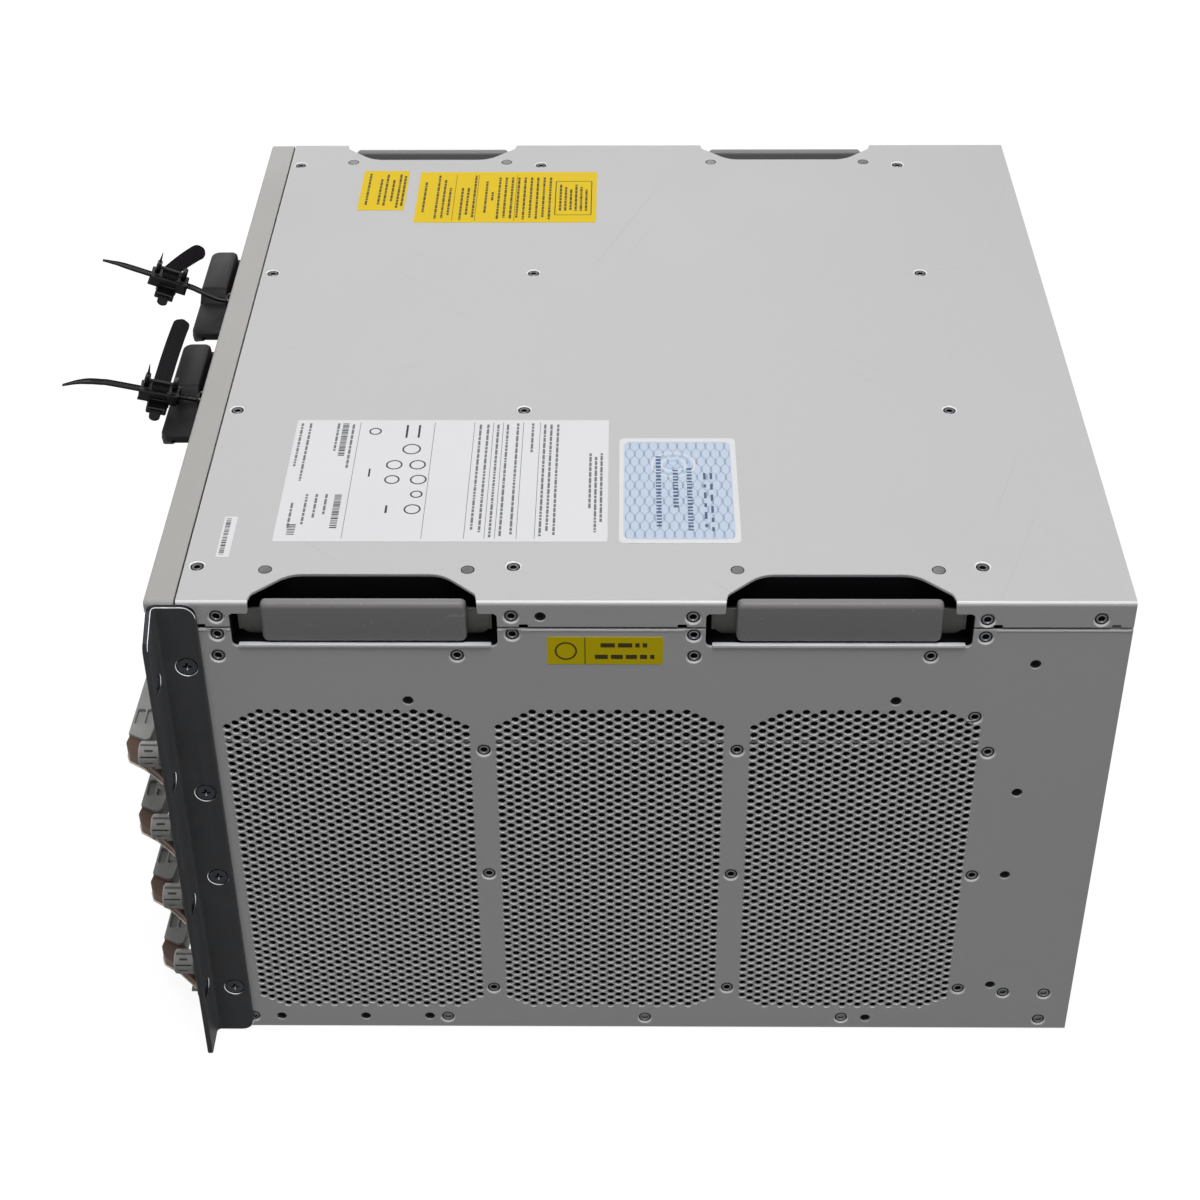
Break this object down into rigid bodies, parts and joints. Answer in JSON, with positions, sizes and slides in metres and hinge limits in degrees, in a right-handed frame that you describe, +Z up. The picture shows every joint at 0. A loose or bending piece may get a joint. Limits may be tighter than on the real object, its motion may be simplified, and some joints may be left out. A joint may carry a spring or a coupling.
{
  "type": "modular chassis switch",
  "caption": "Rack-mount modular network switch with slide-in modules, power supplies and a fan tray in a vented sheet-metal case with carry grips.",
  "frame": {"origin": "centre of the flat base, at the middle of the case width and depth", "axes": "+X to the right seen from the front, +Y to the rear, +Z up"},
  "size_m": [0.4826, 0.4964, 0.2852],
  "materials": {
    "cover_paint": "light grey textured powder coat",
    "bezel_paint": "warm grey powder coat",
    "panel_paint": "grey textured powder coat",
    "zinc_sheet": "zinc-plated sheet steel",
    "circuit_board": "green laminate",
    "grip_paint": "grey paint on zinc-plated steel",
    "ear_coating": "dark semi-gloss coating",
    "screw_steel": "nickel-plated steel",
    "lever_plastic": "moulded grey plastic",
    "knob_plastic": "moulded grey plastic",
    "module_metal": "grey painted faceplate on zinc-plated tray",
    "supply_metal": "grey painted faceplate on zinc-plated case",
    "handle_plastic": "moulded charcoal plastic",
    "tie_nylon": "black nylon",
    "strap_fabric": "black hook-and-loop webbing",
    "tray_metal": "grey painted plate on zinc-plated frame",
    "rotor_plastic": "black glass-filled plastic"
  },
  "bodies": {
    "chassis": {"backplane": "circuit_board", "bottom_pan": "zinc_sheet", "card_guide_left": "zinc_sheet", "card_guide_right": "zinc_sheet", "carry_handle_left_front": "grip_paint", "carry_handle_left_rear": "grip_paint", "carry_handle_right_front": "grip_paint", "carry_handle_right_rear": "grip_paint", "ear_screws": "screw_steel", "fan_bay_wall": "zinc_sheet", "front_bezel": "bezel_paint", "rack_ear_left": "ear_coating", "rack_ear_right": "ear_coating", "rear_panel": "panel_paint", "side_panel_left": "panel_paint", "side_panel_right": "panel_paint", "supply_cage": "zinc_sheet", "top_cover": "cover_paint"},
    "module_1": {"module_1": "module_metal"},
    "module_1_lever_right": {"module_1_lever_right": "lever_plastic"},
    "module_1_screw_right": {"module_1_screw_right": "knob_plastic"},
    "module_1_lever_left": {"module_1_lever_left": "lever_plastic"},
    "module_1_screw_left": {"module_1_screw_left": "knob_plastic"},
    "module_2": {"module_2": "module_metal"},
    "module_2_lever_right": {"module_2_lever_right": "lever_plastic"},
    "module_2_screw_right": {"module_2_screw_right": "knob_plastic"},
    "module_2_lever_left": {"module_2_lever_left": "lever_plastic"},
    "module_2_screw_left": {"module_2_screw_left": "knob_plastic"},
    "module_3": {"module_3": "module_metal"},
    "module_3_lever_right": {"module_3_lever_right": "lever_plastic"},
    "module_3_screw_right": {"module_3_screw_right": "knob_plastic"},
    "module_3_lever_left": {"module_3_lever_left": "lever_plastic"},
    "module_3_screw_left": {"module_3_screw_left": "knob_plastic"},
    "module_4": {"module_4": "module_metal"},
    "module_4_lever_right": {"module_4_lever_right": "lever_plastic"},
    "module_4_screw_right": {"module_4_screw_right": "knob_plastic"},
    "module_4_lever_left": {"module_4_lever_left": "lever_plastic"},
    "module_4_screw_left": {"module_4_screw_left": "knob_plastic"},
    "supply_2": {"supply_2_case": "supply_metal", "supply_2_handle": "handle_plastic", "supply_2_tie": "tie_nylon"},
    "supply_2_retainer": {"supply_2_clip": "tie_nylon", "supply_2_strap": "strap_fabric"},
    "supply_3": {"supply_3_case": "supply_metal", "supply_3_handle": "handle_plastic", "supply_3_tie": "tie_nylon"},
    "supply_3_retainer": {"supply_3_clip": "tie_nylon", "supply_3_strap": "strap_fabric"},
    "supply_blank_1": {"supply_blank_1": "supply_metal"},
    "supply_blank_4": {"supply_blank_4": "supply_metal"},
    "fan_tray": {"fan_tray": "tray_metal"},
    "fan_tray_screw_low": {"fan_tray_screw_low": "knob_plastic"},
    "fan_tray_screw_high": {"fan_tray_screw_high": "knob_plastic"},
    "fan_rotor_1": {"fan_rotor_1": "rotor_plastic"},
    "fan_rotor_2": {"fan_rotor_2": "rotor_plastic"},
    "fan_rotor_3": {"fan_rotor_3": "rotor_plastic"},
    "fan_rotor_4": {"fan_rotor_4": "rotor_plastic"},
    "fan_rotor_5": {"fan_rotor_5": "rotor_plastic"},
    "fan_rotor_6": {"fan_rotor_6": "rotor_plastic"}
  },
  "joints": [
    {"name": "module_1_slide", "type": "slide", "parent": "chassis", "child": "module_1", "axis": [0, -1, 0], "range_m": [0, 0.37]},
    {"name": "module_1_lever_right_swing", "type": "hinge", "parent": "module_1", "child": "module_1_lever_right", "pos_m": [0.206, -0.219, 0.01895], "axis": [0, 0, 1], "range_deg": [0, 50]},
    {"name": "module_1_screw_right_turn", "type": "hinge", "parent": "module_1", "child": "module_1_screw_right", "pos_m": [0.21, -0.2255, 0.03265], "axis": [0, 1, 0], "continuous": true},
    {"name": "module_1_lever_left_swing", "type": "hinge", "parent": "module_1", "child": "module_1_lever_left", "pos_m": [-0.1622, -0.219, 0.01895], "axis": [0, 0, -1], "range_deg": [0, 50]},
    {"name": "module_1_screw_left_turn", "type": "hinge", "parent": "module_1", "child": "module_1_screw_left", "pos_m": [-0.1662, -0.2255, 0.03265], "axis": [0, 1, 0], "continuous": true},
    {"name": "module_2_slide", "type": "slide", "parent": "chassis", "child": "module_2", "axis": [0, -1, 0], "range_m": [0, 0.37]},
    {"name": "module_2_lever_right_swing", "type": "hinge", "parent": "module_2", "child": "module_2_lever_right", "pos_m": [0.206, -0.219, 0.06425], "axis": [0, 0, 1], "range_deg": [0, 50]},
    {"name": "module_2_screw_right_turn", "type": "hinge", "parent": "module_2", "child": "module_2_screw_right", "pos_m": [0.21, -0.2255, 0.07795], "axis": [0, 1, 0], "continuous": true},
    {"name": "module_2_lever_left_swing", "type": "hinge", "parent": "module_2", "child": "module_2_lever_left", "pos_m": [-0.1622, -0.219, 0.06425], "axis": [0, 0, -1], "range_deg": [0, 50]},
    {"name": "module_2_screw_left_turn", "type": "hinge", "parent": "module_2", "child": "module_2_screw_left", "pos_m": [-0.1662, -0.2255, 0.07795], "axis": [0, 1, 0], "continuous": true},
    {"name": "module_3_slide", "type": "slide", "parent": "chassis", "child": "module_3", "axis": [0, -1, 0], "range_m": [0, 0.37]},
    {"name": "module_3_lever_right_swing", "type": "hinge", "parent": "module_3", "child": "module_3_lever_right", "pos_m": [0.206, -0.219, 0.10955], "axis": [0, 0, 1], "range_deg": [0, 50]},
    {"name": "module_3_screw_right_turn", "type": "hinge", "parent": "module_3", "child": "module_3_screw_right", "pos_m": [0.21, -0.2255, 0.12325], "axis": [0, 1, 0], "continuous": true},
    {"name": "module_3_lever_left_swing", "type": "hinge", "parent": "module_3", "child": "module_3_lever_left", "pos_m": [-0.1622, -0.219, 0.10955], "axis": [0, 0, -1], "range_deg": [0, 50]},
    {"name": "module_3_screw_left_turn", "type": "hinge", "parent": "module_3", "child": "module_3_screw_left", "pos_m": [-0.1662, -0.2255, 0.12325], "axis": [0, 1, 0], "continuous": true},
    {"name": "module_4_slide", "type": "slide", "parent": "chassis", "child": "module_4", "axis": [0, -1, 0], "range_m": [0, 0.37]},
    {"name": "module_4_lever_right_swing", "type": "hinge", "parent": "module_4", "child": "module_4_lever_right", "pos_m": [0.206, -0.219, 0.15485], "axis": [0, 0, 1], "range_deg": [0, 50]},
    {"name": "module_4_screw_right_turn", "type": "hinge", "parent": "module_4", "child": "module_4_screw_right", "pos_m": [0.21, -0.2255, 0.16855], "axis": [0, 1, 0], "continuous": true},
    {"name": "module_4_lever_left_swing", "type": "hinge", "parent": "module_4", "child": "module_4_lever_left", "pos_m": [-0.1622, -0.219, 0.15485], "axis": [0, 0, -1], "range_deg": [0, 50]},
    {"name": "module_4_screw_left_turn", "type": "hinge", "parent": "module_4", "child": "module_4_screw_left", "pos_m": [-0.1662, -0.2255, 0.16855], "axis": [0, 1, 0], "continuous": true},
    {"name": "supply_2_slide", "type": "slide", "parent": "chassis", "child": "supply_2", "axis": [0, -1, 0], "range_m": [0, 0.37]},
    {"name": "supply_2_retainer_slide", "type": "slide", "parent": "supply_2", "child": "supply_2_retainer", "axis": [0, -0.9337, 0.3579], "range_m": [-0.002, 0.012]},
    {"name": "supply_3_slide", "type": "slide", "parent": "chassis", "child": "supply_3", "axis": [0, -1, 0], "range_m": [0, 0.37]},
    {"name": "supply_3_retainer_slide", "type": "slide", "parent": "supply_3", "child": "supply_3_retainer", "axis": [0, -0.9752, 0.2214], "range_m": [-0.002, 0.012]},
    {"name": "supply_blank_1_slide", "type": "slide", "parent": "chassis", "child": "supply_blank_1", "axis": [0, -1, 0], "range_m": [0, 0.065]},
    {"name": "supply_blank_4_slide", "type": "slide", "parent": "chassis", "child": "supply_blank_4", "axis": [0, -1, 0], "range_m": [0, 0.065]},
    {"name": "fan_tray_slide", "type": "slide", "parent": "chassis", "child": "fan_tray", "axis": [0, -1, 0], "range_m": [0, 0.37]},
    {"name": "fan_tray_screw_low_turn", "type": "hinge", "parent": "fan_tray", "child": "fan_tray_screw_low", "pos_m": [-0.199, -0.2255, 0.00615], "axis": [0, 1, 0], "continuous": true},
    {"name": "fan_tray_screw_high_turn", "type": "hinge", "parent": "fan_tray", "child": "fan_tray_screw_high", "pos_m": [-0.199, -0.2255, 0.1806], "axis": [0, 1, 0], "continuous": true},
    {"name": "fan_rotor_1_spin", "type": "hinge", "parent": "fan_tray", "child": "fan_rotor_1", "pos_m": [-0.199, -0.1269, 0.0505], "axis": [1, 0, 0], "continuous": true},
    {"name": "fan_rotor_2_spin", "type": "hinge", "parent": "fan_tray", "child": "fan_rotor_2", "pos_m": [-0.199, -0.01275, 0.0505], "axis": [1, 0, 0], "continuous": true},
    {"name": "fan_rotor_3_spin", "type": "hinge", "parent": "fan_tray", "child": "fan_rotor_3", "pos_m": [-0.199, 0.1017, 0.0505], "axis": [1, 0, 0], "continuous": true},
    {"name": "fan_rotor_4_spin", "type": "hinge", "parent": "fan_tray", "child": "fan_rotor_4", "pos_m": [-0.199, -0.1269, 0.1355], "axis": [1, 0, 0], "continuous": true},
    {"name": "fan_rotor_5_spin", "type": "hinge", "parent": "fan_tray", "child": "fan_rotor_5", "pos_m": [-0.199, -0.01275, 0.1355], "axis": [1, 0, 0], "continuous": true},
    {"name": "fan_rotor_6_spin", "type": "hinge", "parent": "fan_tray", "child": "fan_rotor_6", "pos_m": [-0.199, 0.1017, 0.1355], "axis": [1, 0, 0], "continuous": true}
  ]
}
